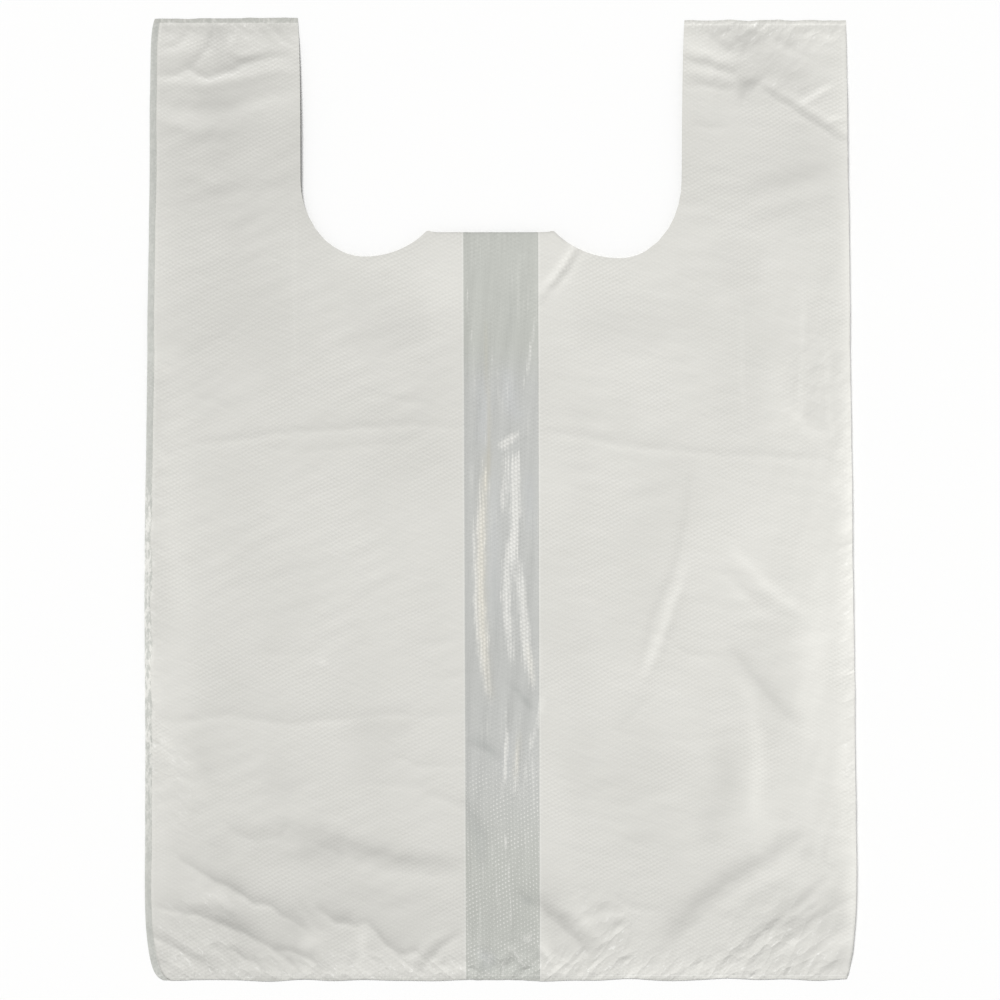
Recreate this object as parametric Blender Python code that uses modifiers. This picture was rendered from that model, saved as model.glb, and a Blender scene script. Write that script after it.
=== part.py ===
"""Plastic carrier bag, lying flat on its back. X runs across it, Y from its foot to its handles, Z up.

The bag is one blown tube of thin film. The tube is pressed flat with a deep pleat (a gusset) folded
in from each side, so four layers of film lie on each other except in a strip down the middle. It is
heat-sealed across its foot and across the top of each handle, and a die has punched out the mouth
between the handles. All lengths are in metres.
"""

import math

import bmesh
import bpy

# Film
FILM = 0.000015
COLOUR = (0.72, 0.715, 0.675, 1.0)
ROUGHNESS = 0.42

# Height of the bag, and how far each seal reaches in from its edge
LENGTH = 0.4090
FOOT = -LENGTH / 2
TOP = LENGTH / 2
SEAL = 0.0022

# Edges across the bag, each as (at the foot, at the top): it is a little wider low down
RIGHT_EDGE = (0.1515, 0.1480)
BACK_LEFT_EDGE = (-0.1515, -0.1490)
FRONT_LEFT_EDGE = (-0.1485, -0.1458)
LEFT_PLEAT = (-0.0145, -0.0160)
RIGHT_PLEAT = (0.0168, 0.0159)

# Stack of layers: spacing of their middles in the open bag and in a seal
OPEN_PITCH = 0.0006
SEAL_PITCH = 0.00005
PRESSED = SEAL + 0.0005
CLOSING_LENGTH = 0.032
CLOSING_STEPS = 6
FOLD_STEPS = 5

# A seal fills each pleat up to this far from the side folds
PLEAT_FILL = 0.0002

# The front sinks towards the back between the two pleats
SAG = 0.0010
SAG_MARGIN = 0.0010
SAG_RUN = 0.0060

# Mouth: the inner edges of the handles, and one hollow beside each handle
LEFT_INNER = (-0.0848, -0.0858)
RIGHT_INNER = (0.0772, 0.0784)
HOLLOW_TOP = 0.1360
LEFT_HOLLOW_X = -0.0574
LEFT_HOLLOW_DEPTH = 0.0327
LEFT_HOLLOW_TO_TAB = 0.0353
RIGHT_HOLLOW_X = 0.0508
RIGHT_HOLLOW_DEPTH = 0.0334
RIGHT_HOLLOW_TO_TAB = 0.0370
ARC_STEPS = 14

# Tab between the hollows, with a small torn ear at each end
TAB_Y = 0.1136
LEFT_EAR = (-0.0299, 0.1143)
LEFT_EAR_FOOT_X = -0.0286
RIGHT_EAR = (0.0226, 0.1146)
RIGHT_EAR_FOOT_X = 0.0211

# Helpers reach this far past what they cut or close
SPARE = 0.0010
DIE_SIDE = 0.1600
DIE_UNDER = -0.0020
DIE_OVER = 0.0060

SHARP_ANGLE = math.radians(40.0)


def clear_scene():
    for obj in list(bpy.data.objects):
        bpy.data.objects.remove(obj)


def new_collection(name):
    collection = bpy.data.collections.new(name)
    bpy.context.scene.collection.children.link(collection)
    return collection


def new_object(name, build, collection):
    body = bmesh.new()
    build(body)
    bmesh.ops.recalc_face_normals(body, faces=body.faces)
    mesh = bpy.data.meshes.new(name)
    body.to_mesh(mesh)
    body.free()
    obj = bpy.data.objects.new(name, mesh)
    collection.objects.link(obj)
    return obj


def film_material():
    material = bpy.data.materials.new("film")
    material.use_nodes = True
    shader = material.node_tree.nodes["Principled BSDF"]
    shader.inputs["Base Color"].default_value = COLOUR
    shader.inputs["Roughness"].default_value = ROUGHNESS
    shader.inputs["Metallic"].default_value = 0.0
    material.diffuse_color = COLOUR
    return material


def along(ends, y):
    """The value at y of a line given at the foot and at the top."""
    share = (y - FOOT) / LENGTH
    return ends[0] + (ends[1] - ends[0]) * share


def opening(y):
    """0 in and beside a seal, rising smoothly to 1 where the layers lie at their open spacing."""
    clear = min(y - FOOT, TOP - y) - PRESSED
    share = min(max(clear / CLOSING_LENGTH, 0.0), 1.0)
    return share * share * (3.0 - 2.0 * share)


def levels(y):
    """Heights of the back, the rear and the front ply of the pleats, and the front panel."""
    pitch = SEAL_PITCH + (OPEN_PITCH - SEAL_PITCH) * opening(y)
    return [FILM / 2 + layer * pitch for layer in range(4)]


def fold(edge, inward, start, end):
    """A half-round fold from height start to height end, whose outermost point lies at edge."""
    radius = abs(end - start) / 2
    centre_x = edge + inward * radius
    centre_z = (start + end) / 2
    points = []
    for step in range(FOLD_STEPS + 1):
        angle = math.pi * step / FOLD_STEPS
        x = centre_x - inward * radius * math.sin(angle)
        z = centre_z + (start - centre_z) * math.cos(angle)
        points.append((x, z))
    return points


def front_sag(y):
    """Points of the front panel, right to left, where it sinks between the pleats."""
    high = levels(y)[3]
    low = high - SAG * opening(y)
    right = along(RIGHT_PLEAT, y) - SAG_MARGIN
    left = along(LEFT_PLEAT, y) + SAG_MARGIN
    return [(right, high), (right - SAG_RUN, low), (left + SAG_RUN, low), (left, high)]


def tube_section(y):
    """The middle of the film all round the folded tube."""
    back, rear, fore, front = levels(y)
    right = along(RIGHT_EDGE, y)
    points = fold(right, -1, back, rear)
    points += fold(along(RIGHT_PLEAT, y), 1, rear, fore)
    points += fold(right, -1, fore, front)
    points += front_sag(y)
    points += fold(along(FRONT_LEFT_EDGE, y), 1, front, fore)
    points += fold(along(LEFT_PLEAT, y), -1, fore, rear)
    points += fold(along(BACK_LEFT_EDGE, y), 1, rear, back)
    return points


def seal_section(y):
    """The outline of the pressed stack, with its pleats filled in."""
    back, rear, fore, front = levels(y)
    right = along(RIGHT_EDGE, y)
    right_fill = right - SEAL_PITCH - PLEAT_FILL
    left_fill = along(FRONT_LEFT_EDGE, y) + SEAL_PITCH + PLEAT_FILL
    points = fold(right, -1, back, rear)
    points += [(right_fill, rear), (right_fill, fore)]
    points += fold(right, -1, fore, front)
    points += fold(along(FRONT_LEFT_EDGE, y), 1, front, fore)
    points += [(left_fill, fore), (left_fill, rear)]
    points += fold(along(BACK_LEFT_EDGE, y), 1, rear, back)
    return points


def ring(body, section, y):
    return [body.verts.new((x, y, z)) for x, z in section(y)]


def skin(body, lower, upper):
    """One band of faces between two rings."""
    for index in range(len(lower)):
        after = (index + 1) % len(lower)
        body.faces.new((lower[index], lower[after], upper[after], upper[index]))


def tube_stations():
    """Heights up the bag at which the tube has a section."""
    steps = [PRESSED + CLOSING_LENGTH * step / CLOSING_STEPS for step in range(CLOSING_STEPS + 1)]
    low = [FOOT + step for step in steps]
    high = [TOP - step for step in reversed(steps)]
    return [FOOT - SPARE] + low + high + [TOP + SPARE]


def build_tube(body):
    rings = [ring(body, tube_section, y) for y in tube_stations()]
    for lower, upper in zip(rings, rings[1:]):
        skin(body, lower, upper)


def build_seal(body, start, end):
    lower = ring(body, seal_section, start)
    upper = ring(body, seal_section, end)
    skin(body, lower, upper)
    body.faces.new(lower)
    body.faces.new(upper)


def arc(centre_x, half_width, depth, start, end):
    """Part of a hollow's half ellipse. Angles are in degrees: 180 is left, 270 straight down."""
    points = []
    for step in range(ARC_STEPS + 1):
        angle = math.radians(start + (end - start) * step / ARC_STEPS)
        x = centre_x + half_width * math.cos(angle)
        y = HOLLOW_TOP + depth * math.sin(angle)
        points.append((x, y))
    return points


def ear_angle(ear, centre_x, half_width, depth):
    """The angle at which a hollow's half ellipse reaches an ear."""
    across = (ear[0] - centre_x) / half_width
    down = (ear[1] - HOLLOW_TOP) / depth
    return math.degrees(math.atan2(down, across)) % 360.0


def left_hollow():
    inner = along(LEFT_INNER, HOLLOW_TOP)
    steep = arc(LEFT_HOLLOW_X, LEFT_HOLLOW_X - inner, LEFT_HOLLOW_DEPTH, 180.0, 270.0)
    last = ear_angle(LEFT_EAR, LEFT_HOLLOW_X, LEFT_HOLLOW_TO_TAB, LEFT_HOLLOW_DEPTH)
    flat = arc(LEFT_HOLLOW_X, LEFT_HOLLOW_TO_TAB, LEFT_HOLLOW_DEPTH, 270.0, last)
    return steep + flat[1:]


def right_hollow():
    inner = along(RIGHT_INNER, HOLLOW_TOP)
    first = ear_angle(RIGHT_EAR, RIGHT_HOLLOW_X, RIGHT_HOLLOW_TO_TAB, RIGHT_HOLLOW_DEPTH)
    flat = arc(RIGHT_HOLLOW_X, RIGHT_HOLLOW_TO_TAB, RIGHT_HOLLOW_DEPTH, first, 270.0)
    steep = arc(RIGHT_HOLLOW_X, inner - RIGHT_HOLLOW_X, RIGHT_HOLLOW_DEPTH, 270.0, 360.0)
    return flat + steep[1:]


def die_outline():
    """The flat outline that the die and the two sealing knives leave, clear of the side folds."""
    points = [(-DIE_SIDE, FOOT), (-DIE_SIDE, TOP), (LEFT_INNER[1], TOP)]
    points += left_hollow()
    points += [(LEFT_EAR_FOOT_X, TAB_Y), (RIGHT_EAR_FOOT_X, TAB_Y)]
    points += right_hollow()
    points += [(RIGHT_INNER[1], TOP), (DIE_SIDE, TOP), (DIE_SIDE, FOOT)]
    return points


def build_die(body):
    floor = [body.verts.new((x, y, DIE_UNDER)) for x, y in die_outline()]
    roof = [body.verts.new((x, y, DIE_OVER)) for x, y in die_outline()]
    skin(body, floor, roof)
    body.faces.new(floor)
    body.faces.new(roof)


def make_helper(name, build, collection):
    helper = new_object(name, build, collection)
    helper.hide_render = True
    helper.display_type = "WIRE"
    return helper


def add_boolean(obj, helper, operation):
    modifier = obj.modifiers.new(helper.name, "BOOLEAN")
    modifier.operation = operation
    modifier.solver = "EXACT"
    modifier.object = helper


def make_bag(bag_parts, helpers):
    bag = new_object("carrier_bag", build_tube, bag_parts)
    wall = bag.modifiers.new("film", "SOLIDIFY")
    wall.thickness = FILM
    wall.offset = 0.0
    wall.use_even_offset = True
    foot_seal = make_helper(
        "foot_seal", lambda body: build_seal(body, FOOT - SPARE / 2, FOOT + SEAL), helpers
    )
    handle_seals = make_helper(
        "handle_seals", lambda body: build_seal(body, TOP - SEAL, TOP + SPARE / 2), helpers
    )
    die = make_helper("die", build_die, helpers)
    add_boolean(bag, foot_seal, "UNION")
    add_boolean(bag, handle_seals, "UNION")
    add_boolean(bag, die, "INTERSECT")
    return bag


def shade(obj):
    obj.data.polygons.foreach_set("use_smooth", [True] * len(obj.data.polygons))
    obj.data.set_sharp_from_angle(angle=SHARP_ANGLE)


def main():
    clear_scene()
    bag_parts = new_collection("carrier bag")
    helpers = new_collection("helpers")
    bag = make_bag(bag_parts, helpers)
    bag.data.materials.append(film_material())
    shade(bag)


main()
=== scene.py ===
"""Looks for the plastic carrier bag: one continuous film tube, folded, sealed, punched and creased.

The bag lies on its back. X runs across it, Y from its foot to its handle tops, Z up off the floor.
Lengths are in metres, and those in the lists of creases are in millimetres.
"""

import math

import bpy
import numpy as np
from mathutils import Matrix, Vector


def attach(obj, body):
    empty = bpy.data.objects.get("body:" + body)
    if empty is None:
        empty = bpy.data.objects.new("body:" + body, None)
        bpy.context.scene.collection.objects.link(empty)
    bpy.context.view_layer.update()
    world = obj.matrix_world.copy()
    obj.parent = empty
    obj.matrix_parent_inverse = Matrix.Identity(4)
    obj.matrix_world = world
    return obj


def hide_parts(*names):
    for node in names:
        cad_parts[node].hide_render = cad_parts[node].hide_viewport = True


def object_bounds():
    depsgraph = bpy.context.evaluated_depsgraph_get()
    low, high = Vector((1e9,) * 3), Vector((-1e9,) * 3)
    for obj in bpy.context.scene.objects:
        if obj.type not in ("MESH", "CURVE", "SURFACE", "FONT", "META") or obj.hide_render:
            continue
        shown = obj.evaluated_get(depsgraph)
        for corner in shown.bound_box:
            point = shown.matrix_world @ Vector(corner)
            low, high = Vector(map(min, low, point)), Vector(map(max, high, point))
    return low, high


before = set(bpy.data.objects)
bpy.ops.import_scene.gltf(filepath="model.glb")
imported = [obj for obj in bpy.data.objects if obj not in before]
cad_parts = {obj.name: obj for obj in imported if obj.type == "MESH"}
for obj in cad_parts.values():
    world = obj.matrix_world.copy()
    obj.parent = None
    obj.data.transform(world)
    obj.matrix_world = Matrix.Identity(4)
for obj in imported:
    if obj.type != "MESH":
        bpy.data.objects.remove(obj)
CAD_LOW, CAD_HIGH = [tuple(corner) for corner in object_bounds()]
MM = 0.001

# Outline, from the CAD box
FOOT = CAD_LOW[1]
TOP = CAD_HIGH[1]
LENGTH = TOP - FOOT
SEAL = 2.1 * MM

# Layers of film
OPEN_PITCH = 0.24 * MM
SEAL_PITCH = 0.02 * MM
CLOSING = 44 * MM
LIFT = 0.06 * MM

# Mouth. A hollow: its middle, its half-width on the strap's side and on the tab's, its depth.
# An ear: its tip across and up the bag, and where it starts across the bag.
HOLLOW_TOP = 136.0 * MM
LEFT_HOLLOW = (-57.4 * MM, 27.2 * MM, 35.3 * MM, 32.7 * MM)
RIGHT_HOLLOW = (50.8 * MM, 26.4 * MM, 37.0 * MM, 33.4 * MM)
TAB_Y = 113.6 * MM
LEFT_EAR = (-29.9 * MM, 114.3 * MM, -28.6 * MM)
RIGHT_EAR = (22.6 * MM, 114.7 * MM, 20.9 * MM)

# Mesh
FINE_ROW = 1.28 * MM
FINE_COLUMN = 1.29 * MM
ROWS_PER_COARSE = 4
FOLD_STEPS = 5
FRONT_WIDTH = 300 * MM
SHELF = 2.0 * MM  # how far in under the front edge the back's fine mesh goes


def fade(value, start, end):
    """0 before start, 1 after end, smooth between."""
    share = np.clip((value - start) / (end - start), 0.0, 1.0)
    return share * share * (3.0 - 2.0 * share)


# --- outline across the bag -------------------------------------------------------------------

# Where the side folds would meet the foot, and how far each leans in by the handle tops (mm)
RIGHT_AT_FOOT = 152.0
RIGHT_NARROWS = 5.1
LEFT_AT_FOOT = -152.3
LEFT_NARROWS = 4.0
# How far the front's left fold lies in from the back's
SLIVER_WIDTH = 3.0 * MM


def up_share(y):
    """0 at the foot, 1 at the handle tops."""
    return (y - FOOT) / LENGTH


def waver(y, size, seed):
    """A small irregular wander along an edge."""
    rng = np.random.default_rng(seed)
    total = np.zeros_like(y)
    for wave in (90, 41, 23, 12.5):
        total += np.sin(2 * math.pi * y / (wave * MM) + rng.uniform(0, 6.28)) * wave / 90
    return size * total * 0.5


def right_edge(y):
    y = np.asarray(y, float)
    straight = RIGHT_AT_FOOT - RIGHT_NARROWS * up_share(y)
    drawn_in = 4.6 * np.exp(-(y - FOOT) / (16 * MM))
    return (straight - drawn_in) * MM + waver(y, 0.22 * MM, 3)


def left_edge(y):
    y = np.asarray(y, float)
    straight = LEFT_AT_FOOT + LEFT_NARROWS * up_share(y)
    drawn_in = 6.0 * np.exp(-(y - FOOT) / (12 * MM)) + 2.5 * np.exp(-(y - FOOT) / (1.5 * MM))
    corner = 1.6 * np.exp(-(TOP - y) / (4 * MM))
    bulge = -0.35 * np.exp(-(((y + 20 * MM) / (70 * MM)) ** 2)) + 0.85 * fade(-y, 40 * MM, 110 * MM)
    return (straight + drawn_in + corner + bulge) * MM + waver(y, 0.16 * MM, 5)


def crumpled_edge(y):
    """1 along the middle of the left edge, where it is finely crumpled."""
    return fade(-y, -12 * MM, 6 * MM) * (1 - fade(-y, 84 * MM, 104 * MM))


def front_left_edge(y):
    y = np.asarray(y, float)
    fine = waver(y * 3.1, 0.75 * MM, 8) * crumpled_edge(y)
    return left_edge(y) + SLIVER_WIDTH + waver(y, 0.2 * MM, 7) + fine


def left_pleat(y):
    return (-14.4 - 1.6 * up_share(np.asarray(y, float))) * MM


def right_pleat(y):
    return (16.9 - 1.0 * up_share(np.asarray(y, float))) * MM


def left_inner(y):
    return (-84.6 - 1.3 * np.exp(-(TOP - y) / (18 * MM))) * MM


def right_inner(y):
    return (77.2 + 1.2 * np.exp(-(TOP - y) / (22 * MM))) * MM


# --- mouth: distance inside the film, negative where the die has taken it away -------------------


def hollow_clear(x, y, hollow, steep_side):
    centre, steep, flat, depth = hollow
    width = np.where((x - centre) * steep_side > 0, steep, flat)
    across = (x - centre) / width
    down = (y - HOLLOW_TOP) / depth
    radius = np.hypot(across, down)
    grow = np.hypot(across / width, down / depth) / np.maximum(radius, 1e-6)
    clear = (radius - 1.0) / np.maximum(grow, 1e-6)
    return np.where(y > HOLLOW_TOP, 1.0, clear)


def tab_clear(x, y):
    ear = (x - LEFT_EAR[2]) / (LEFT_EAR[0] - LEFT_EAR[2])
    edge = TAB_Y + np.clip(ear, 0, 1) * (LEFT_EAR[1] - TAB_Y)
    ear = (x - RIGHT_EAR[2]) / (RIGHT_EAR[0] - RIGHT_EAR[2])
    edge = edge + np.clip(ear, 0, 1) * (RIGHT_EAR[1] - TAB_Y)
    clear = edge - y
    clear = np.where((x < LEFT_HOLLOW[0]) | (x > RIGHT_HOLLOW[0]), 1.0, clear)
    return clear


def film_clear(x, y):
    x = np.asarray(x, float)
    y = np.asarray(y, float)
    left = hollow_clear(x, y, LEFT_HOLLOW, -1)
    left = np.where(x > LEFT_EAR[0] + 0.2 * MM, 1.0, left)
    right = hollow_clear(x, y, RIGHT_HOLLOW, 1)
    right = np.where(x < RIGHT_EAR[0] - 0.2 * MM, 1.0, right)
    gap = np.maximum(left_inner(y) - x, x - right_inner(y))
    gap = np.where(y < HOLLOW_TOP, np.maximum(gap, HOLLOW_TOP - y), gap)
    clear = np.minimum(np.minimum(left, right), np.minimum(tab_clear(x, y), gap))
    return np.clip(clear, -1.0, 1.0)


# --- relief -----------------------------------------------------------------------------------

RELIEF = 1.35  # height of all the creases, against the lists
RIPPLE = 1.6
ROOM = 0.95 * MM  # how far the front panel stands above the layers under it
ROOM_SPREAD = 14 * MM  # how far from a seal it reaches that height
SWELL_HEIGHT = 0.28 * MM
FOOT_PUCKER = 0.105 * MM
HEAD_PUCKER = 0.085 * MM
WANDER = 0.30
WANDER_SEED = 61
# Painted shade: each valley's colour is made darker by this many eight-bit steps per millimetre of its
# depth
SHADE_PER_MM = 26.0  # how many eight-bit steps darker a valley is
FILM_LEVEL = 218.0  # the film's own brightness in such steps
TAB_REACH = 28 * MM  # how far each side of the middle the mouth's cut edge looks dark

# Creases at the left of the foot that are both folded and marked dark, as points (mm)
UPPER_CORNER_CREASE = [
    (-136.2, -151.6), (-124.9, -158.7), (-112.1, -165), (-103.6, -170.7),
    (-96.5, -172.1), (-89.5, -177.1), (-82, -181.5),
]
LOWER_CORNER_CREASE = [
    (-144.7, -172.8), (-129.1, -175.4), (-116.4, -180), (-107.9, -183.6),
    (-98, -189.4), (-89.5, -195.6), (-84, -201.5),
]
SHORT_CREASE = [(-116.4, -189.8), (-109.3, -193.4), (-103.6, -196.2), (-99.4, -200.8)]
MIDDLE_CREASE = [(-78.1, -172.8), (-69.6, -178.5), (-61.1, -180.8), (-56.4, -178.3)]

# Sharp creases: height (mm, negative for a valley), how far it fades above and below it (mm),
# points (mm)
FOLDS = [
    # packing fold across the whole front
    (-0.13, 1.7, 0.9, [(-148, 13.5), (-139, 19.8), (-129, 24.1), (-110.7, 25.5), (-93.7, 28.3),
                       (-72.5, 29.7), (-51.2, 31.2), (-30, 31.9), (-15, 30.5)]),
    (-0.07, 1.5, 0.9, [(-100.8, 22), (-81, 20.5), (-52.6, 23.4), (-34, 23.8)]),
    (-0.11, 1.6, 0.9, [(17, 29), (35.2, 26.9), (53.6, 22.7), (73.5, 21.2), (94.7, 19.1),
                       (116, 18.4), (141.5, 17)]),
    (-0.07, 1.4, 0.8, [(-55.5, 44.6), (-38.5, 41.8), (-27.1, 39.7)]),
    (-0.07, 1.4, 0.8, [(-130.5, 44.6), (-122, 42.5), (-112.1, 39)]),
    (-0.08, 1.6, 0.9, [(-144.7, 53.8), (-129, 62.3), (-115, 70.8), (-105, 77.9)]),
    (-0.05, 1.6, 0.9, [(-146, 41), (-132, 46), (-118, 54)]),
    (-0.06, 2.2, 1.2, [(-139, 141.7), (-123.5, 153), (-115, 164.3)]),
    (-0.06, 2, 1, [(-128, 92), (-110, 99), (-95, 108)]),
    # left panel, below the middle
    (-0.13, 3.2, 0.9, [(-149, -94.2), (-129.1, -93.5), (-115, -91.4), (-98, -94.2), (-90.9, -95.2),
                       (-72.5, -93.5), (-44.1, -90.7), (-30, -92.1), (-17.2, -90.7)]),
    (-0.1, 2, 0.8, [(-45.5, -109.1), (-32.8, -113.3), (-15.8, -113.3)]),
    (-0.08, 2, 0.8, [(-58.3, -120.4), (-34.2, -121.8), (-21.5, -116.2)]),
    (-0.12, 2.2, 0.9, [(-32.8, -124.7), (-21.5, -127.5), (-15, -131.8)]),
    (-0.06, 1.8, 0.8, [(-40, -60), (-28, -61), (-16, -59.6)]),
    (-0.06, 1.8, 0.8, [(-33, -75.5), (-24, -76), (-16, -74)]),
    (-0.05, 1.8, 0.8, [(-105, -66), (-85, -65), (-76, -68)]),
    # left panel, near the foot
    (-0.22, 3, 2.2, [(-116, -138.5), (-103, -143.5), (-94, -142), (-89.5, -137.5)]),
    (-0.32, 3.6, 1, UPPER_CORNER_CREASE),
    (-0.36, 3.4, 1.2, LOWER_CORNER_CREASE),
    (-0.34, 2, 0.8, [(-96, -190.4), (-88.5, -191.5), (-81, -194.1), (-75.3, -199.8), (-73, -202)]),
    (-0.36, 2.4, 0.9, [(-149, -183.5), (-140.5, -188.4), (-132, -193.4), (-123.5, -198.3),
                       (-117.8, -202)]),
    (-0.28, 1.8, 0.8, SHORT_CREASE),
    (-0.18, 1.8, 0.8, [(-123, -188.6), (-117, -193), (-112, -199)]),
    (-0.34, 3.4, 1, MIDDLE_CREASE),
    (-0.36, 3.2, 1, [(-56.2, -178.3), (-52.6, -182.6), (-47, -189.4), (-39.9, -193.4),
                       (-33.5, -191)]),
    (-0.28, 2.2, 0.9, [(-16.5, -183.7), (-25.7, -189.8), (-31.4, -196.9), (-34.8, -202)]),
    (-0.16, 1.6, 0.8, [(-86, -170), (-80.5, -177), (-75, -184)]),
    (-0.14, 1.4, 0.8, [(-89, -173), (-83.5, -180), (-78, -187)]),
    # right panel
    (-0.16, 1.4, 2, [(80.6, 11), (79.8, 0), (79.1, -8.5), (76.3, -21.3), (72, -34), (65, -49.6),
                       (59.3, -74)]),
    (-0.06, 1.6, 0.9, [(73, -101), (86, -101.4), (99, -99)]),
    (-0.2, 3.4, 1.6, [(97.5, -62.3), (106, -73.7), (113.1, -82.2), (121.6, -92.1), (129, -98)]),
    (-0.08, 1.6, 0.9, [(68, -57), (80, -66), (96, -66)]),
    (-0.07, 1.5, 0.9, [(56, -100), (50, -98), (66, -82)]),
    (-0.2, 5, 1.8, [(131.5, -141.2), (124.5, -145.9), (116, -151.4), (104.6, -158.3),
                       (96.1, -163.9), (86.2, -172.4), (79.1, -179.5), (72, -186.6),
                       (66.4, -193.7), (62.4, -201)]),
    (-0.26, 2.4, 0.9, [(139, -160), (130.1, -169), (123, -174.6), (116, -180.5), (110.3, -185.9),
                       (103.2, -191.8), (96, -198.5)]),
    (-0.22, 2.2, 0.9, [(152, -168.2), (141.5, -172.8), (130.1, -180.3), (118.8, -190.2),
                       (109, -198.5)]),
    (-0.2, 1.6, 0.8, [(128, -176.5), (121.5, -181.5), (113, -184.2)]),
    (-0.2, 1.6, 0.8, [(132.5, -181.5), (126, -186), (116.5, -187.5)]),
    (-0.2, 2, 1, [(146, -181), (138, -187), (131, -196)]),
    (-0.32, 3.6, 1.2, [(15.8, -168.8), (22.5, -176.2), (31, -183.3), (36.6, -190.3),
                       (40, -195.5)]),
    (-0.16, 1.8, 0.9, [(37, -177.5), (45, -174.2), (53.6, -174.8)]),
    (-0.16, 1.6, 0.8, [(42, -186.5), (48.5, -180.5), (56, -181.5)]),
    (-0.14, 1.6, 0.8, [(48, -169), (58, -173.5), (68, -174)]),
    (-0.16, 1.5, 0.8, [(139, -142), (138.4, -155), (142.5, -158.5)]),
    # right handle
    (-0.26, 1.8, 1.2, [(101.5, 169.5), (104, 173.8), (108.5, 176.6)]),
    (-0.24, 1.6, 1.2, [(100.5, 177.4), (107.2, 176.4), (112.4, 178.5)]),
    (-0.19, 0.7, 0.9, [(111.7, 175), (120.2, 169.3), (130.1, 162.9), (138.6, 157.2),
                       (148, 151)]),
    (-0.2, 1.6, 1, [(79, 187.5), (88, 184.2), (100, 180.6)]),
    (-0.16, 1.5, 1, [(79, 176.5), (90, 175.4), (100, 174)]),
    (-0.14, 1.6, 1, [(81, 159.8), (88, 157.6), (97, 158.4)]),
    (-0.24, 1.5, 1, [(101.8, 196), (104, 191.5), (103, 187)]),
    (-0.24, 2.2, 1.2, [(90, 197), (95, 191.5), (101, 190)]),
    (-0.16, 1.8, 1, [(114, 200), (120, 193.2), (127, 189.4), (134, 187.6)]),
    (-0.12, 1.4, 0.9, [(127, 170), (134, 174.5), (141, 177.4)]),
    # left handle
    (-0.3, 2.4, 1, [(-146, 180), (-137, 180.4), (-132, 182.7), (-123.5, 179.2), (-115, 182),
                       (-107.9, 185.6), (-100.8, 187.7), (-89, 188.6)]),
    (-0.28, 1.5, 1.2, [(-121, 200.5), (-124.5, 192), (-128, 187.2), (-131.8, 182.7)]),
    (-0.18, 1.6, 0.9, [(-145.5, 190.6), (-138.5, 192.4), (-134, 196), (-132.6, 200.5)]),
    (-0.16, 1.5, 1, [(-97, 201.5), (-92.5, 196), (-86.4, 192.2)]),
    (-0.12, 1.4, 0.9, [(-104, 201), (-99, 196), (-93, 190.5)]),
    # centre strip
    (-0.13, 1.8, 0.7, [(3.2, -79), (8.6, -81.5), (11.5, -87), (15.5, -91)]),
    (-0.14, 2.2, 0.8, [(-14, -104), (-3.5, -107.5), (0.5, -112)]),
    (-0.2, 2.8, 1.2, [(-15.8, -127), (-9, -138), (-4.5, -148)]),
    (-0.26, 2.2, 1.2, [(-9.5, -189), (-4, -195.5), (0.2, -200.5)]),
    (-0.24, 2, 1, [(7.8, -166), (12, -170.5), (16, -173.5)]),
]

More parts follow.
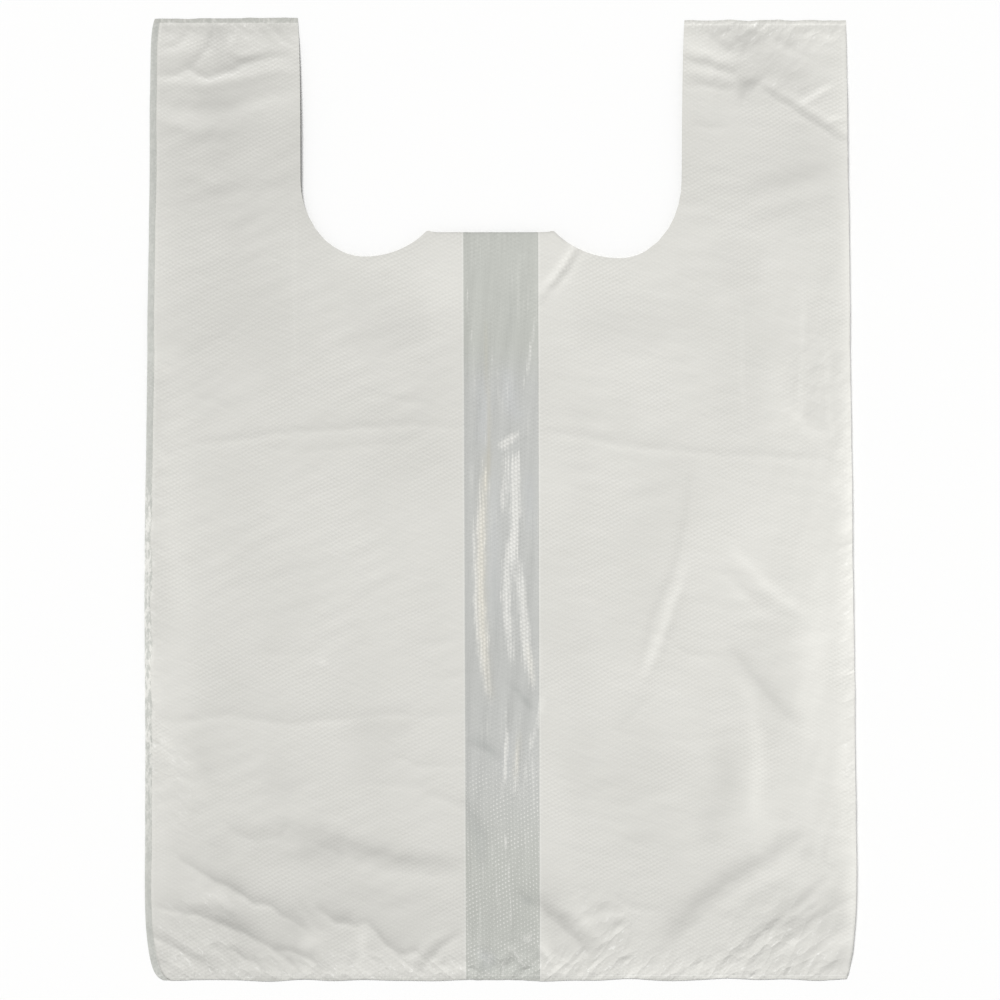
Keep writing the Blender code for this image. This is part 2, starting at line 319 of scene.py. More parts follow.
# Soft rises and hollows: height (mm), half-width (mm), points (mm)
SWELLS = [
    (-0.4, 4.2, [(-92, -140.2), (-78, -142.6), (-58.3, -150.2), (-39.9, -155.3), (-15.5, -156.8)]),
    (0.1, 5, [(-78, -156.5), (-58, -163), (-38, -168), (-17, -169)]),
    (0.16, 1.4, [(-75.6, -69), (-73.8, -71.2)]),
    (0.2, 4, [(-135, -167), (-122, -170), (-108, -177)]),
    (0.22, 2.4, [(-57.5, -184), (-57.8, -192), (-57, -200)]),
    (0.18, 1.8, [(-63, -190), (-66, -200)]),
    (0.24, 3, [(-141, -197.5), (-131, -199.5)]),
    (0.2, 2.2, [(-38, -197), (-29, -188.5), (-21, -184)]),
    (0.34, 1.5, [(32.5, 107.5), (26.7, 99.2), (19.6, 90.7), (16.8, 85)]),
    (-0.2, 1.6, [(35, 106), (29, 97), (22, 88)]),
    (0.28, 2.2, [(79.6, -29), (72.6, -48.2), (65.4, -68), (61, -77)]),
    (0.26, 3, [(97.5, -21.3), (106, -31.2), (116, -41.1), (130, -50)]),
    (-0.18, 2.6, [(95, -30), (104, -40), (113, -48)]),
    (0.22, 3.6, [(100, -76), (108, -88), (116, -98)]),
    (0.14, 3, [(124, -157), (108, -166), (96, -175)]),
    (0.22, 3, [(146, -106), (146.5, -134), (146, -160)]),
    (0.28, 3, [(148, -187), (136, -199)]),
    (0.28, 1.5, [(17.2, -189.5), (21, -194.1), (25.3, -198.6)]),
    (0.2, 3.2, [(26, -172), (35, -180), (46, -190)]),
    (0.26, 2.4, [(80, 191), (92, 186.6), (101, 183.4)]),
    (0.2, 2.6, [(79, 181.5), (90, 179.4), (99, 177.6)]),
    (0.2, 1.8, [(111, 177.6), (121, 171.6), (132, 164.8), (148, 154.4)]),
    (0.24, 1, [(127.5, 166.6), (134, 171.5), (141, 175.6)]),
    (0.22, 1, [(138, 159.6), (147, 162)]),
    (-0.18, 4, [(104, 129), (116, 132.5), (128, 136), (142, 140)]),
    (0.12, 3.6, [(104, 122), (120, 126), (142, 131)]),
    (0.22, 2.6, [(-145, 175.5), (-136, 176.5), (-126, 175.8), (-112, 178), (-98, 181.6), (-86, 182)]),
    (-0.3, 4.2, [(-146, 169), (-131, 165.5), (-116, 166), (-100, 171), (-88, 174)]),
    (0.18, 3.4, [(-146, 161), (-128, 156.5), (-108, 157.5)]),
    (0.12, 3, [(-133, 138.5), (-124, 137), (-118, 133)]),
    (-0.1, 3, [(-120, 128.5), (-108, 130), (-88, 134)]),
    (0.2, 1.6, [(-112, 198), (-113.8, 191.5), (-110, 187.4), (-100, 190.2)]),
    (0.16, 1.6, [(136.5, 60), (137.5, 38), (138.5, 22)]),
    (-0.14, 2, [(131, 66), (126, 45), (128, 25)]),
    (0.18, 2.4, [(133, 44), (127, 34), (130, 26)]),
    (0.2, 2.2, [(143, 8), (146, -6)]),
    (0.3, 1.3, [(-8.5, 72), (-11, 40), (-11, 8), (-10, -42), (-6, -81)]),
    (0.28, 1.3, [(8.5, 28), (6, 8), (6, -25), (12.5, -59), (16, -81)]),
    (0.24, 1.2, [(15, 62), (13.5, 40), (11, 26)]),
    (0.24, 1.1, [(2.6, -80), (2.8, -99), (3.6, -112)]),
    (0.24, 1.3, [(8, -100), (5.6, -126)]),
    (0.26, 1, [(1.2, -138), (3.6, -157), (4.4, -188)]),
    (0.32, 1.4, [(4.5, -190), (8.5, -194.6), (11.5, -199.5)]),
    (0.28, 1.3, [(4.5, -190), (0, -196)]),
    (0.26, 1.2, [(12.5, -194), (15.5, -200)]),
    (0.22, 1.3, [(9.6, 104), (8.8, 92), (7.5, 84)]),
]

# Painted shade and painted highlights on the film, such as the dark sides of creases and the lit facets
# and bands beside them, with broader lighter and darker patches: eight-bit steps, half-width (mm), points
# (mm)
PAINTED_LIGHT_AND_SHADE = [
    (-6, 6, [(94, -103), (97, -118), (93, -134)]),
    (7, 3.4, [(103, -78), (108, -95), (110, -112), (107, -134)]),
    (6, 2.6, [(79.5, -31), (71, -50), (62.5, -75)]),
    (-5, 4.5, [(97.5, -62.3), (108, -75), (118, -88), (129, -97)]),
    (5, 3.6, [(98, -22), (108, -33), (118, -42), (131, -51)]),
    (4, 2.6, [(124, -94), (132, -99), (140, -99)]),
    (9, 3, [(148, 66), (148.5, 20), (149, -40), (149.5, -100)]),
    (5, 3.6, [(145, 0), (145.5, -60), (147, -150)]),
    (6, 1.5, [(138, 68), (139, 46), (140.5, 24)]),
    (5, 1.2, [(128.5, 88), (128, 62), (127, 44)]),
    (3, 1, [(101.8, 83.6), (102.6, 56), (103, 32.6)]),
    (2.5, 0.9, [(-87, 133), (-87.2, 92), (-87.4, 51)]),
    (5, 3, [(122, 38), (130, 30), (138, 24)]),
    (-5, 3, [(-139, -105), (-134, -114), (-128, -121)]),
    (-4, 5, [(-130, -100), (-126, -112), (-122, -128)]),
    (7, 4, [(-146, -97), (-140, -107), (-130, -119), (-122, -127)]),
    (5, 3, [(-148, -58), (-147, -76), (-145, -92)]),
    (6, 3, [(-148, 68), (-146, 58), (-140, 54)]),
    (5, 2.4, [(-146, 22), (-141, 15)]),
    (-3, 4, [(-143, -22), (-142, -38), (-140, -52)]),
    (9, 2.4, [(-135, -170), (-126, -169.6), (-115, -169)]),
    (-8, 4, [(-126, -160.5), (-116, -164), (-108, -168)]),
    (-8, 4, [(-122, -177), (-114, -179.5), (-104, -185)]),
    (-9, 4.2, [(-90, -141), (-70, -146.5), (-52, -151.5), (-36, -154.5), (-17, -156)]),
    (-7, 7, [(-86, -148), (-66, -150)]),
    (-4, 5, [(-62, -95), (-50, -96), (-36, -95)]),
    (-6, 4, [(-72, -176), (-62, -178)]),
    (8, 3, [(-58, -184), (-57.4, -200)]),
    (-6, 4, [(-92, -174), (-84, -184), (-78, -192)]),
    (7, 3, [(-142, -198), (-130, -199.5)]),
    (-12, 4.2, [(129, -140.4), (120, -146), (108, -153), (96, -160), (84, -170), (73, -182)]),
    (-6, 1.4, [(84, -176), (72, -187.4), (66, -195), (63, -201)]),
    (-7, 1.8, [(138, -161), (123, -174.4), (110, -185.8), (98, -197)]),
    (-5, 2.6, [(150, -168), (132, -178), (118, -189)]),
    (-9, 3.2, [(17, -170), (24, -177), (32, -184), (38, -192)]),
    (6, 2.4, [(16.5, -176), (18, -188), (24, -196)]),
    (12, 1.1, [(16.8, -189.5), (21, -194.1), (25.3, -199)]),
    (14, 1, [(31.4, 107.5), (26.9, 99.4), (22, 93.4), (18.4, 87.5)]),
    (9, 1, [(18.3, -81.5), (17.9, -86), (16.9, -91)]),
    (8, 1, [(128.7, 167.2), (134.5, 171.4), (141, 175.4)]),
    (8, 1, [(138, 159), (142.5, 160.5), (147, 160.8)]),
    (-10, 2.4, [(102, 169.5), (104.6, 173.4), (108.6, 176.6)]),
    (-7, 1.6, [(101, 177), (106, 175.5), (111, 178.4)]),
    (5, 1.8, [(80, 191), (87, 188.2), (95, 185.4)]),
    (-8, 5, [(92, 196), (100, 192), (110, 196)]),
    (-7, 6, [(108, 187), (118, 184), (132, 178)]),
    (-6, 5, [(-124, 197), (-116, 193)]),
    (-3, 14, [(88, 106), (112, 96)]),
    (-4, 5, [(104, 130), (122, 134), (140, 140)]),
    (5, 9, [(-139, 66), (-139, 0), (-138, -60), (-138, -130)]),
    (3, 5, [(-145, 172), (-145, 100), (-145, 60)]),
    (3, 5, [(-145, -60), (-145, -120), (-144, -190)]),
    (5, 4, [(146, 190), (146, 140), (147, 110)]),
    (6, 4, [(146, 90), (147, 40), (148, -20), (148, -60)]),
    (5, 5, [(-72, 104), (-60, 101), (-42, 102)]),
    (-4, 13, [(-66, 78), (-30, 74)]),
    (-5, 13, [(30, 76), (64, 78), (92, 84)]),
    (5, 4, [(148, 128), (148, 96), (148, 60)]),
    (6, 3.6, [(149, -100), (150, -150), (149, -196)]),
    (6, 10, [(134, -10), (136, -50), (134, -96)]),
    (-3, 24, [(40, -90), (56, -130)]),
    (6, 5, [(-140, -193), (-60, -197), (60, -197), (150, -194)]),
    (6, 4, [(149, -140), (150, -200)]),
    (8, 5, [(-84, -186), (-80, -190)]),
    (-6, 6, [(104, 197), (112, 194)]),
    (-2, 9, [(-126, 160), (-112, 156)]),
    (5, 7, [(132, -50), (131, -92)]),
    (6, 4, [(149, 120), (149, 80)]),
    (4, 3, [(-5, 30), (-6, 0), (-7, -60)]),
    (-3, 14, [(30, -148), (80, -150)]),
    (-3, 14, [(-100, -112), (-70, -112)]),
    (-4, 6, [(128, -148), (134, -150)]),
    (-5, 7, [(-132, 167), (-116, 164), (-100, 160)]),
    (4, 2.6, [(-143, 171), (-136, 173.4), (-128, 170)]),
    (-5, 3.4, [(-121, 183), (-110, 185), (-100, 187.4)]),
    (4, 2.2, [(-132, 136), (-124, 136.8), (-119, 133.6)]),
    (4, 2, [(-76, -68), (-73.5, -71.5)]),
    (-3, 4, [(-115, 110), (-108, 120), (-100, 128)]),
    (3, 8, [(-40, 92), (-10, 88)]),
    (-7, 11, [(90, 179), (132, 177)]),
    (-5, 6, [(102, 197), (136, 195)]),
    (-3, 14, [(-118, 194), (-118, 150), (-118, 114)]),
    (-3, 15, [(128, 164), (126, 138), (108, 112)]),
    (-3.5, 12, [(74, 102), (112, 101)]),
    (-4, 9, [(32, 74), (72, 72)]),
    (-4, 8, [(-62, 64), (-28, 76)]),
    (-3, 7, [(34, 44), (34, 0)]),
    (3, 8, [(118, 62), (121, 24)]),
    (-3, 13, [(-64, -94), (-50, -118)]),
    (-3.5, 9, [(-102, -112), (-84, -124)]),
    (-5.5, 6, [(-106, -149), (-60, -151)]),
    (-3, 8, [(34, -50), (34, -150)]),
    (-2, 12, [(62, -92), (62, -146)]),
    (-5, 6, [(88, -128), (90, -150)]),
    (5, 6, [(106, -110), (112, -146)]),
    (4, 5, [(128, -84), (131, -98)]),
    (-3.5, 6, [(72, -166), (73, -188)]),
    (4, 5, [(-84, -190), (-76, -186)]),
    (4, 5, [(-140, 66), (-138, 56)]),
    (3, 9, [(114, 62), (122, 22)]),
    (2, 22, [(92, 8), (114, -52)]),
    (3.5, 3, [(15, -62), (14, -76)]),
    (4.5, 7, [(-142, -188), (-112, -190)]),
    (4, 6, [(-86, -190), (-74, -188)]),
    (4.5, 6, [(-30, -188), (0, -190)]),
    (5.5, 6, [(32, -164), (36, -192)]),
    (4, 6, [(104, -188), (148, -188)]),
    (-6, 6, [(-124, 198), (-112, 195)]),
    (-5, 5, [(88, 197), (112, 196)]),
    (5, 5, [(126, 198), (140, 196)]),
    (-2.5, 7, [(-104, -112), (-92, -130)]),
    (-4, 5, [(-124, -147), (-112, -149)]),
    (5, 4, [(108, -146), (112, -150)]),
    (-5, 4, [(126, -149), (134, -148)]),
    (3, 4, [(149, -160), (149, -176)]),
    # painted shade along the foot of each sharp crease, and a painted highlight on the facet beside it
    (-11, 1, UPPER_CORNER_CREASE),
    (5, 1.6, [(-128, -161), (-112.6, -168), (-100, -174.4)]),
    (-11, 1, LOWER_CORNER_CREASE),
    (-10, 1, [(-149, -183.5), (-140.5, -188.4), (-132, -193.4), (-123.5, -198.3)]),
    (-10, 0.9, [(-96, -190.4), (-88.5, -191.5), (-81, -194.1), (-75.3, -199.8)]),
    (-9, 0.9, SHORT_CREASE),
    (-10, 1, [(-56.2, -178.3), (-52.6, -182.6), (-47, -189.4), (-39.9, -193.4)]),
    (-6, 1, MIDDLE_CREASE),
    (-6, 1.6, [(-94, -142.6), (-78, -144.8), (-58.3, -153), (-39.9, -157.6), (-15.5, -159)]),
    (-7, 1, [(-116, -139.5), (-103, -144.5), (-94, -142.6), (-89.5, -137.9)]),
    (-8, 0.9, [(-16.5, -183.7), (-25.7, -189.8), (-31.4, -196.9), (-34.8, -202)]),
    (-8, 1, [(16.4, -170.4), (23, -178), (31.4, -185), (36.8, -192)]),
    (-6, 1, [(126, -146.6), (106, -159.4), (88, -173), (73.8, -187.6), (64, -201)]),
    (-7, 0.9, [(111.7, 174.4), (120.2, 168.7), (130.1, 162.3), (138.6, 156.6), (148, 150.4)]),
    (-7, 0.9, [(101.2, 168), (104, 172.4), (108.5, 175.6)]),
    (-5, 0.9, [(-130, 181.4), (-123.5, 178.6), (-115, 181.2), (-107.9, 184.8)]),
]

# Where the film is finely crumpled: strength 0 to 1, half-width (mm), points (mm)
CRUMPLES = [
    (1, 7, [(-150, -190), (-120, -200), (-70, -201), (-20, -200), (20, -200), (80, -200),
                (130, -198), (150, -196)]),
    (0.5, 11, [(-146, -178), (-128, -186), (-110, -192)]),
    (0.7, 14, [(96, -192), (118, -186), (142, -178)]),
    (0.5, 10, [(40, -186), (56, -184)]),
    (0.35, 9, [(-146, -96), (-138, -112), (-130, -140)]),
    (0.5, 6, [(-130, -168), (-112, -172)]),
    (0.4, 5, [(147, 70), (148, 0), (149, -70), (149, -140)]),
    (0.25, 12, [(132, 70), (130, 30)]),
    (0.65, 5, [(84, 202), (104, 200), (126, 198), (146, 198)]),
    (0.25, 14, [(90, 186), (110, 182), (134, 176)]),
    (0.4, 5, [(-148, 202), (-118, 201), (-88, 201)]),
    (0.1, 12, [(-138, 186), (-110, 188), (-92, 188)]),
    (0.3, 5, [(-148, 60), (-148, -60), (-148, -150)]),
    (0.25, 20, [(60, -178), (20, -182)]),
]

# Where the front clings to the back in the centre strip, paler and partly painted highlight, and with
# strength below 0, painted shade in the strip's creases: strength, half-width (mm), points (mm)
CLINGS_AND_SHADE = [
    (0.5, 0.9, [(-5.7, 81), (-5.3, 60), (-5.3, 48), (-6.2, 25), (-7, 8)]),
    (0.95, 3.1, [(-7, 14), (-8.3, -14), (-8.9, -32), (-8.3, -50), (-7.4, -66), (-5.3, -78),
                 (-3.6, -88)]),
    (1.1, 2.3, [(7.6, 21), (7, 8), (6.4, -12), (6, -26)]),
    (0.95, 2.5, [(5.2, -14), (2.9, -26), (2.5, -42), (3.9, -60), (5.6, -72)]),
    (1.05, 2.5, [(7.8, -24), (10, -46), (10.8, -60), (13, -72), (14.8, -82)]),
    (0.7, 2, [(2.6, 24), (1.6, 12), (1, 0), (1.8, -10)]),
    (0.95, 2.3, [(8.8, 28.5), (4, 26), (-1.3, 22)]),
    (0.14, 3.4, [(5, 22), (4.5, 6), (4.5, -8)]),
    (0.4, 1.6, [(3, -76), (8, -77.5), (12, -82)]),
    (0.85, 1, [(15.3, 80), (13.2, 66), (11.9, 56), (9.4, 46)]),
    (0.5, 0.8, [(0.6, 62), (-1, 54), (-1.8, 46)]),
    (0.6, 0.8, [(1.4, 58), (3.2, 46), (3.6, 34)]),
    (0.5, 0.8, [(-14.3, 86), (-11.8, 64), (-10.6, 42), (-10.3, 24)]),
    (0.45, 0.7, [(-8.4, 60), (-8.9, 44), (-9.1, 28)]),
    (0.4, 0.7, [(-3.8, 80), (-3.5, 62), (-3.7, 45)]),
    (0.35, 0.8, [(-13.8, 92), (-13.2, 78)]),
    (0.45, 1, [(9.5, 104), (8.6, 94), (7.8, 84)]),
    (0.85, 0.8, [(2.6, -78), (2.8, -99), (1.6, -120)]),
    (0.6, 0.7, [(8.5, -88), (8.8, -98)]),
    (0.8, 0.9, [(17, -84), (15.6, -95), (13.4, -106)]),
    (0.55, 1.2, [(3.6, -98), (0.6, -132), (-1.9, -139)]),
    (0.65, 1.6, [(7.9, -100), (6.9, -114), (4.8, -130)]),
    (0.55, 1.7, [(13.2, -98), (11.2, -114), (9.2, -132)]),
    (0.6, 0.9, [(-3.6, -140), (-1.4, -157), (-0.9, -178)]),
    (0.65, 0.8, [(1.6, -139), (3.9, -157), (4.6, -186)]),
    (0.22, 3, [(11.2, -130), (11.8, -150), (11.8, -164)]),
    (0.75, 0.9, [(4.5, -189.6), (8.5, -195), (11.3, -199.8)]),
    (0.6, 0.8, [(4.5, -189.6), (-0.6, -195.5)]),
    (0.4, 2.4, [(5.4, -197.5), (7, -199)]),
    (0.65, 2.2, [(8.2, -184), (11.5, -186.5), (13.6, -183)]),
    (0.4, 1.8, [(-10.8, -191), (-2.3, -195.5)]),
    (0.5, 0.8, [(12.5, -194), (15.5, -199.5)]),
    # below 0: painted shade in the strip's creases
    (-0.4, 2.2, [(4, -80), (7.6, -80.5), (10.6, -85), (13.5, -90)]),
    (-0.34, 3.4, [(-12.5, -100), (-5, -105), (0, -111)]),
    (-0.36, 4.4, [(-15.5, -128), (-9, -142), (-6.6, -158)]),
    (-0.42, 3, [(-9.5, -197), (-2, -199.5)]),
    (-0.34, 2.6, [(8, -168), (14, -172.5)]),
    (-0.22, 6, [(3, 96), (4.5, 78), (2.5, 60)]),
    (-0.16, 5, [(-8, 104), (-9.5, 88)]),
    (-0.3, 2.2, [(-3, -20), (-2, -50), (-0.5, -72)]),
    (-0.25, 1.6, [(13.5, 20), (13, -10), (14, -40)]),
]
WARM = [
    (0.66, 1.9, [(-5.6, 20), (-6.8, 4), (-7.8, -18), (-7.9, -36), (-7.2, -58), (-5.4, -74),
                 (-3.6, -84)]),
    (0.6, 0.8, [(-5.2, 48), (-4.4, 34), (-4.9, 16), (-6.3, 4)]),
    (0.4, 0.8, [(-5.9, 76), (-5.6, 44)]),
    (0.45, 1, [(8.3, -98), (6.6, -118)]),
    (0.25, 1.2, [(11.5, -60), (14, -78)]),
]
COOL = [
    (0.7, 3, [(-8, 52), (-6.5, 40), (-8, 24)]),
    (0.7, 3.4, [(2.5, 56), (4.5, 40), (9, 34)]),
    (0.5, 2.6, [(-2.6, 10), (-2.5, -20), (-2, -55)]),
    (0.6, 2.2, [(12, 12), (12.8, -14)]),
    (0.6, 2.6, [(-9, -192), (-2.5, -196.5)]),
    (0.5, 1.8, [(3.8, -99), (2, -118)]),
]


# Broad patches of lighter or darker film: levels, centre (mm), half-width and half-height (mm)
PATCHES = [
    (3.5, 2, 95, 45, 30),
    (-3, -118, 92, 45, 55),
    (-3, 112, 140, 34, 22),
    (-2.5, 118, 52, 22, 40),
    (3, -72, -20, 50, 60),
]


def along_line(x, y, points):
    """Distance from a line of points, 1 where above it and -1 below, and the share along it."""
    nearest = np.full(x.shape, 1e9)
    place = np.zeros(x.shape)
    side = np.ones(x.shape)
    lengths = [math.dist(a, b) for a, b in zip(points, points[1:])]
    before = 0.0
    for (ax, ay), (bx, by), length in zip(points, points[1:], lengths):
        dx = (bx - ax) / length
        dy = (by - ay) / length
        along = np.clip((x - ax) * dx + (y - ay) * dy, 0, length)
        off_x = x - ax - along * dx
        off_y = y - ay - along * dy
        away = np.hypot(off_x, off_y)
        closer = away < nearest
        nearest = np.where(closer, away, nearest)
        place = np.where(closer, (before + along) / sum(lengths), place)
        side = np.where(closer, np.sign(off_y * abs(dx) - off_x * abs(dy) * np.sign(dx * dy)), side)
        before += length
    return nearest, side, place


def taper(place):
    return 0.2 + 0.8 * np.clip(np.sin(math.pi * np.clip(place, 0, 1)), 0, 1) ** 0.5


def fold_marks(x, y):
    """The height of all the sharp creases, in millimetres."""
    total = np.zeros(x.shape)
    for height, above, below, points in FOLDS:
        away, side, place = along_line(x, y, points)
        width = np.where(side > 0, above, below)
        total += height * np.exp(-(np.hypot(away, 0.4) - 0.4) / width) * taper(place)
    return total


def strokes(x, y, marks):
    """The sum of soft strokes over the points, each a strength, a half-width and points."""
    total = np.zeros(x.shape)
    for strength, half_width, points in marks:
        away, _, place = along_line(x, y, points)
        total += strength * np.exp(-((away / half_width) ** 2)) * taper(place)
    return total


def wandered(x, y, size, seed):
    """The points in millimetres, moved a little this way and that so that no crease runs straight."""
    shift_x = waves(x, y, seed, 8, 5, 22, 0, 180)
    shift_y = waves(x, y, seed + 1, 8, 5, 22, 0, 180)
    return x / MM + size * shift_x, y / MM + size * shift_y


def waves(x, y, seed, count, shortest, longest, angle, spread):
    """A seeded sum of waves, about -1 to 1. Angle is the way their crests run, in degrees."""
    rng = np.random.default_rng(seed)
    total = np.zeros(x.shape)
    for _ in range(count):
        wave = math.exp(rng.uniform(math.log(shortest), math.log(longest))) * MM
        turn = math.radians(angle + 90 + rng.uniform(-spread, spread))
        phase = rng.uniform(0, 2 * math.pi)
        total += np.sin(2 * math.pi * (x * math.cos(turn) + y * math.sin(turn)) / wave + phase)
    return total / math.sqrt(count)


def from_seals(y):
    return np.minimum(y - FOOT, TOP - y) - SEAL


def opening(y):
    """0 at the seals, where the layers are pressed shut, and 1 where they lie loose."""
    return fade(from_seals(y), 0.0, CLOSING)


def swell(x, y):
    """The broad rise and fall that all the layers share, from 0 up."""
    broad = waves(x, y, 11, 7, 90, 210, 0, 180)
    return SWELL_HEIGHT * (1.6 + np.clip(broad, -1.6, 1.6)) * opening(y)


def strip_share(x, y):
    """1 in the strip between the pleats, where only two layers lie."""
    edge = 2.2 * MM
    inside = fade(x, left_pleat(y) - 0.2 * MM, left_pleat(y) + edge)
    return inside * (1 - fade(x, right_pleat(y) - edge, right_pleat(y) + 0.2 * MM))


def pucker(x, y):
    """Small gathers that fan out from the seals."""
    low = np.maximum(y - FOOT - SEAL, 0)
    high = np.maximum(TOP - y - SEAL, 0)
    foot = waves(x + 0.25 * low, y * 0.12, 21, 9, 3.2, 9.5, 90, 12)
    foot += 0.7 * waves(x - 0.3 * low, y * 0.1, 22, 7, 2.8, 7.0, 90, 8)
    head = waves(x - 0.3 * high, y * 0.12, 23, 9, 3.0, 9.0, 90, 14)
    near_foot = np.exp(-low / (6.5 * MM)) * fade(low, -0.5 * MM, 1.5 * MM)
    near_head = np.exp(-high / (4.5 * MM)) * fade(high, -0.5 * MM, 1.5 * MM)
    rough = 0.55 + 0.45 * fade(x, 60 * MM, 120 * MM)
    return (FOOT_PUCKER * foot * near_foot + HEAD_PUCKER * head * near_head) * rough


def ripples(x, y):
    """Fine slack in the film, running the way each half of the bag is drawn."""
    left = fade(-x, 0.0, 40 * MM)
    right = fade(x, 0.0, 40 * MM)
    rising = waves(x, y, 31, 10, 7, 20, 24, 16)
    falling = waves(x, y, 32, 10, 7, 20, 10, 30)
    upright = waves(x, y, 33, 10, 5, 14, 86, 10)
    patch = 0.5 + 0.5 * np.clip(waves(x, y, 34, 6, 50, 120, 0, 180), -1, 1)
    strip = strip_share(x, y)
    sides = 0.016 * (left * rising + right * falling) * (0.4 + patch)
    near_edge = fade(x, 95 * MM, 140 * MM) * (1 - fade(y, 95 * MM, 125 * MM))
    middle = 0.085 * strip * upright * (0.5 + 0.8 * patch)
    edge = 0.022 * near_edge * waves(x, y, 35, 8, 6, 14, 80, 14)
    return MM * (sides * (1 - strip) + middle + edge)


def detail(x, y):
    """Everything that only the front panel shows, kept above the layers under it."""
    moved_x, moved_y = wandered(x, y, WANDER, WANDER_SEED)
    creases = fold_marks(moved_x, moved_y) + strokes(moved_x, moved_y, SWELLS)
    total = RIPPLE * ripples(x, y) + pucker(x, y) + RELIEF * MM * creases
    room = ROOM * (0.2 + 0.8 * fade(from_seals(y), 0.0, ROOM_SPREAD))
    soft = 0.05 * MM
    total = total + room
    total = 0.5 * (total + np.sqrt(total**2 + soft**2))
    seal = fade(y, FOOT + 0.6 * SEAL, FOOT + 1.4 * SEAL)
    seal = seal * (1 - fade(y, TOP - 1.4 * SEAL, TOP - 0.6 * SEAL))
    return total * (0.4 + 0.6 * seal)


def pitch(y):
    return SEAL_PITCH + (OPEN_PITCH - SEAL_PITCH) * opening(y)


def layer_height(layer, x, y):
    """Height of a layer: 0 back, 1 rear ply, 2 front ply, 3 front panel."""
    x = np.asarray(x, float)
    y = np.asarray(y, float)
    height = LIFT + swell(x, y) + layer * pitch(y)
    if layer < 3:
        return height
    sag = 1.7 * pitch(y) * strip_share(x, y)
    return height - sag + detail(x, y)


# --- mesh of the folded tube --------------------------------------------------------------------


def row_heights():
    """Rows up the bag: close together in and beside the seals, even between."""
    seal_rows = np.array([0.0, 0.35, 0.7, 1.05, 1.4, 1.75, 2.1, 2.6, 3.2, 3.9, 4.7]) * MM
    start = FOOT + seal_rows[-1] + FINE_ROW
    end = TOP - seal_rows[-1] - FINE_ROW
    count = int(round((end - start) / FINE_ROW))
    count += (-(count + 2 * len(seal_rows))) % ROWS_PER_COARSE
    middle = np.linspace(start, end, count + 1)
    return np.concatenate([FOOT + seal_rows, middle, (TOP - seal_rows)[::-1]])


def ply(layer, start, end, columns):
    """Columns of one flat layer between two edges that are functions of y."""
    made = []
    for share in columns:
        def place(y, share=share):
            x = start(y) + (end(y) - start(y)) * share
            return x, layer_height(layer, x, y)
        made.append(place)
    return made


def turn(edge, inward, first, second):
    """Columns of a half-round fold from one layer to another at an edge."""
    made = []
    for step in range(1, FOLD_STEPS):
        angle = math.pi * step / FOLD_STEPS
        def place(y, angle=angle):
            inner = edge(y) + inward * fold_radius(y)
            start = layer_height(first, inner, y)
            end = layer_height(second, inner, y)
            centre = (start + end) / 2
            x = inner - inward * fold_radius(y) * math.sin(angle)
            return x, centre + (start - centre) * math.cos(angle)
        made.append(place)
    return made


def fold_radius(y):
    return pitch(y) / 2 + 0.10 * MM * opening(y)


def inside(edge, inward):
    """The line where a fold's curve meets its flat layer."""
    return lambda y: edge(y) + inward * fold_radius(y)


def even(count):
    return np.linspace(0.0, 1.0, count + 1)


def tube_columns():
    """All columns round the tube, each as (fine, function of y)."""
    left = inside(left_edge, 1)
    front_left = inside(front_left_edge, 1)
    right = inside(right_edge, -1)
    pleat_left = inside(left_pleat, -1)
    pleat_right = inside(right_pleat, 1)
    wide = int(round(FRONT_WIDTH / FINE_COLUMN))

    def shelf(y):
        return front_left(y) + SHELF

    groups = [
        (False, ply(0, left, right, even(56))),
        (False, turn(right_edge, -1, 0, 1)),
        (False, ply(1, right, pleat_right, even(26))),
        (False, turn(right_pleat, 1, 1, 2)),
        (False, ply(2, pleat_right, right, even(26))),
        (True, turn(right_edge, -1, 2, 3)),
        (True, ply(3, right, front_left, even(wide))),
        (True, turn(front_left_edge, 1, 3, 2)),
        (False, ply(2, front_left, pleat_left, even(26))),
        (False, turn(left_pleat, -1, 2, 1)),
        (False, ply(1, pleat_left, shelf, even(25))),
        (True, ply(1, shelf, left, even(8))[1:]),
        (True, turn(left_edge, 1, 1, 0)),
    ]
    return [(fine, place) for fine, places in groups for place in places]


def wavy_ends(x, y):
    """The knife-cut ends wander a little."""
    foot = 0.30 * MM * waves(x, x * 0, 41, 6, 14, 60, 90, 1)
    foot = foot + (0.50 + 0.38 * fade(x, 30 * MM, 90 * MM)) * MM
    foot = foot * np.exp(-(y - FOOT) / (3 * MM))
    tilt = 0.5 * MM * fade(x, -150 * MM, -80 * MM) * (x < 0)
    ragged = (0.14 + 0.12 * fade(x, 60 * MM, 110 * MM)) * MM
    head = ragged * waves(x, x * 0, 42, 8, 5, 30, 90, 1) + tilt
    head = head - np.where(x < 0, 0.05, 0.68) * MM
    return y + foot + head * np.exp(-(TOP - y) / (3 * MM))


def tube_points(columns, rows):
    """Points of every column, and each column's row numbers."""
    points = []
    numbers = []
    start = 0
    for fine, place in columns:
        picked = np.arange(len(rows)) if fine else np.arange(0, len(rows), ROWS_PER_COARSE)
        y = rows[picked]
        x, z = place(y)
        y = wavy_ends(x, y)
        points.append(np.stack([x, y, z], axis=1))
        numbers.append({int(row): start + at for at, row in enumerate(picked)})
        start += len(picked)
    return np.concatenate(points), numbers


def tube_faces(columns, rows, numbers):
    """Polygons between neighbouring columns, with more corners where a fine column meets a coarse one."""
    faces = []
    for at in range(len(columns)):
        after = (at + 1) % len(columns)
        fine_here = columns[at][0]
        fine_there = columns[after][0]
        step = 1 if fine_here and fine_there else ROWS_PER_COARSE
        for row in range(0, len(rows) - 1, step):
            here = range(row, row + step + 1, 1 if fine_here else step)
            there = range(row, row + step + 1, 1 if fine_there else step)
            face = [numbers[at][r] for r in here]
            face += [numbers[after][r] for r in reversed(there)]
            faces.append(face)
    return faces


